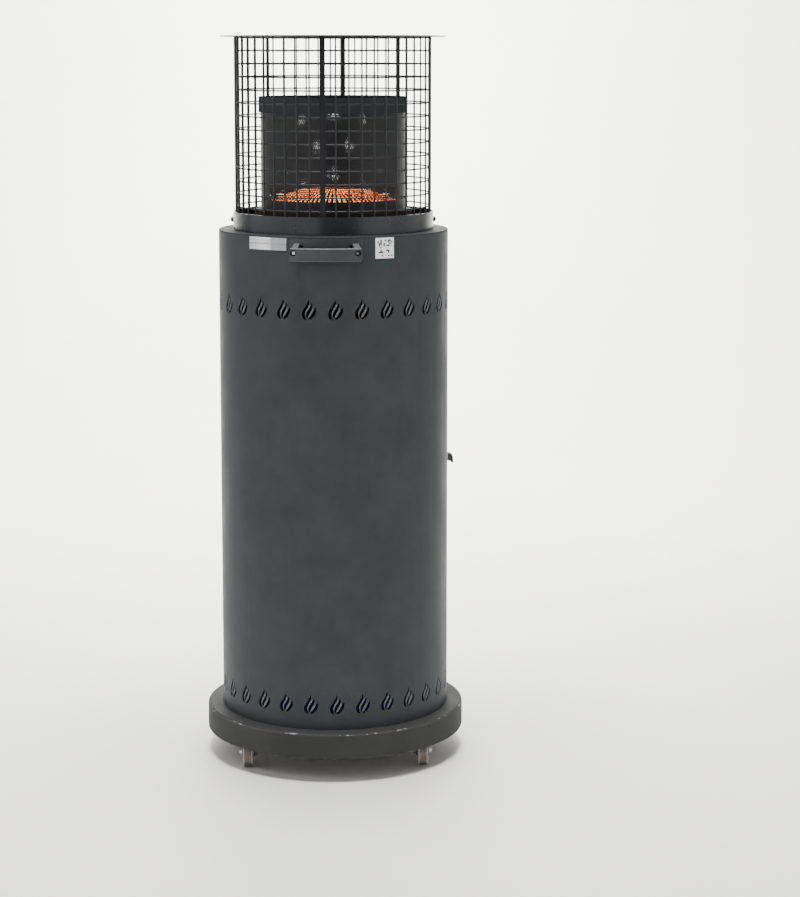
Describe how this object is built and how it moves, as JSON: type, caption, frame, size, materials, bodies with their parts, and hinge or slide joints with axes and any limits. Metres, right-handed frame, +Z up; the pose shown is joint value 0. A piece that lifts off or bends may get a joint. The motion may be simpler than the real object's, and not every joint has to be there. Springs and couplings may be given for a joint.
{
  "type": "outdoor heater",
  "caption": "Round gas patio heater: cylindrical bottle housing with flame-shaped vents and rear door, wheeled skirted base, glowing burner in a drum behind a wire guard, flat top plate.",
  "frame": {"origin": "centre of the bounding box's lowest face, on the floor under the middle of the base", "axes": "+Z up; -Y is the front, the side with the grip; +X is the right-hand side seen from the front, where the door catch is"},
  "size_m": [0.5, 0.5005, 1.3865],
  "materials": {
    "top_plate": "satin, rolled edge",
    "guard_wire": "satin black",
    "dark_steel": "satin black",
    "drum_steel": "dark heat-blued, fine perforation",
    "drum_cap": "matt black",
    "burner_dome": "glowing orange slots",
    "burner_steel": "dull steel",
    "collar": "satin black",
    "dark_screw": "dark dull steel",
    "housing_paint": "satin dark grey powder coat, scratched",
    "panel_plastic": "fine grain",
    "zinc_sheet": "dull zinc plate",
    "base_paint": "satin black, chipped along the edges",
    "wheel_rubber": "dusty brown tread",
    "zinc_fasteners": "bright zinc",
    "pad_rubber": "matt",
    "catch_zinc": "pale dull zinc",
    "catch_black": "satin black",
    "handle_plate": "glossy black",
    "handle_grip": "glossy black, fine scratches",
    "handle_chrome": "bright",
    "rating_foil": "brushed foil, blank",
    "label_paper": "matt white, blank",
    "bottle_paint": "dark blue enamel",
    "brass": "dull brass",
    "regulator_grey": "cast, dull",
    "lever_red": "satin red",
    "hose_rubber": "dull orange",
    "copper_pipe": "dull copper",
    "cast_venturi": "rough",
    "white_ceramic": "matt",
    "black_plastic": "satin black",
    "button_red": "satin red"
  },
  "bodies": {
    "frame": {"top_plate": "top_plate", "guard_wires": "guard_wire", "guard_rings": "guard_wire", "guard_straps": "guard_wire", "reflector_posts": "dark_steel", "emitter_drum": "drum_steel", "drum_cap": "drum_cap", "burner_dome": "burner_dome", "burner_bowl": "burner_steel", "burner_tray": "burner_steel", "collar": "collar", "collar_screws": "dark_screw", "top_deck": "housing_paint", "housing_shell": "housing_paint", "control_panel": "panel_plastic", "frame_posts": "zinc_sheet", "base_ring": "zinc_sheet", "heat_shield": "zinc_sheet", "valve_bracket": "zinc_sheet", "burner_bracket": "zinc_sheet", "pilot_bracket": "zinc_sheet", "base_pan": "base_paint", "wheel_forks": "dark_steel", "axle_bolts": "zinc_fasteners", "axle_nuts": "dark_screw", "sheet_screws": "zinc_fasteners", "rear_feet": "dark_steel", "foot_pads": "pad_rubber", "hinge_leaves_fixed": "dark_steel", "hinge_pins": "zinc_fasteners", "handle_plate": "handle_plate", "handle_grip": "handle_grip", "handle_screws": "handle_chrome", "rating_plate": "rating_foil", "blank_label": "label_paper", "gas_bottle": "bottle_paint", "bottle_valve": "brass", "regulator": "regulator_grey", "gas_hose": "hose_rubber", "hose_clamps": "zinc_fasteners", "gas_valve": "brass", "gas_pipe": "copper_pipe", "pilot_tube": "copper_pipe", "thermocouple": "copper_pipe", "injector": "brass", "venturi": "cast_venturi", "igniter_electrode": "white_ceramic", "igniter_body": "black_plastic", "tilt_switch": "black_plastic"},
    "door": {"door_panel": "housing_paint", "hinge_leaves_door": "dark_steel", "catch_base": "catch_zinc"},
    "catch": {"catch_lever": "catch_black", "catch_cam": "zinc_sheet"},
    "wheel_left": {"wheel_left": "wheel_rubber"},
    "wheel_right": {"wheel_right": "wheel_rubber"},
    "stem": {"valve_stem": "brass"},
    "knob": {"gas_knob": "black_plastic"},
    "button": {"igniter_button": "button_red"},
    "lever": {"regulator_lever": "lever_red"}
  },
  "joints": [
    {"name": "door_hinge", "type": "hinge", "parent": "frame", "child": "door", "pos_m": [-0.17336, 0.14546, 0.5], "axis": [0, 0, 1], "range_deg": [0, 110]},
    {"name": "catch_turn", "type": "hinge", "parent": "door", "child": "catch", "pos_m": [0.21786, 0.03062, 0.569], "axis": [-0.9903, -0.1392, 0], "range_deg": [0, 90]},
    {"name": "wheel_left_spin", "type": "hinge", "parent": "frame", "child": "wheel_left", "pos_m": [-0.167, -0.142, 0.0285], "axis": [1, 0, 0], "continuous": true},
    {"name": "wheel_right_spin", "type": "hinge", "parent": "frame", "child": "wheel_right", "pos_m": [0.167, -0.142, 0.0285], "axis": [1, 0, 0], "continuous": true},
    {"name": "stem_press", "type": "slide", "parent": "frame", "child": "stem", "axis": [0, -1, 0], "range_m": [0, 0.004], "stiffness_N_per_m": 900},
    {"name": "knob_turn", "type": "hinge", "parent": "stem", "child": "knob", "pos_m": [0, 0.23, 0.965], "axis": [0, 1, 0], "range_deg": [0, 180]},
    {"name": "igniter_press", "type": "slide", "parent": "frame", "child": "button", "axis": [0.2924, -0.9563, 0], "range_m": [0, 0.004], "stiffness_N_per_m": 800},
    {"name": "regulator_turn", "type": "hinge", "parent": "frame", "child": "lever", "pos_m": [0, 0, 0.688], "axis": [0, 0, 1], "range_deg": [0, 90]}
  ]
}
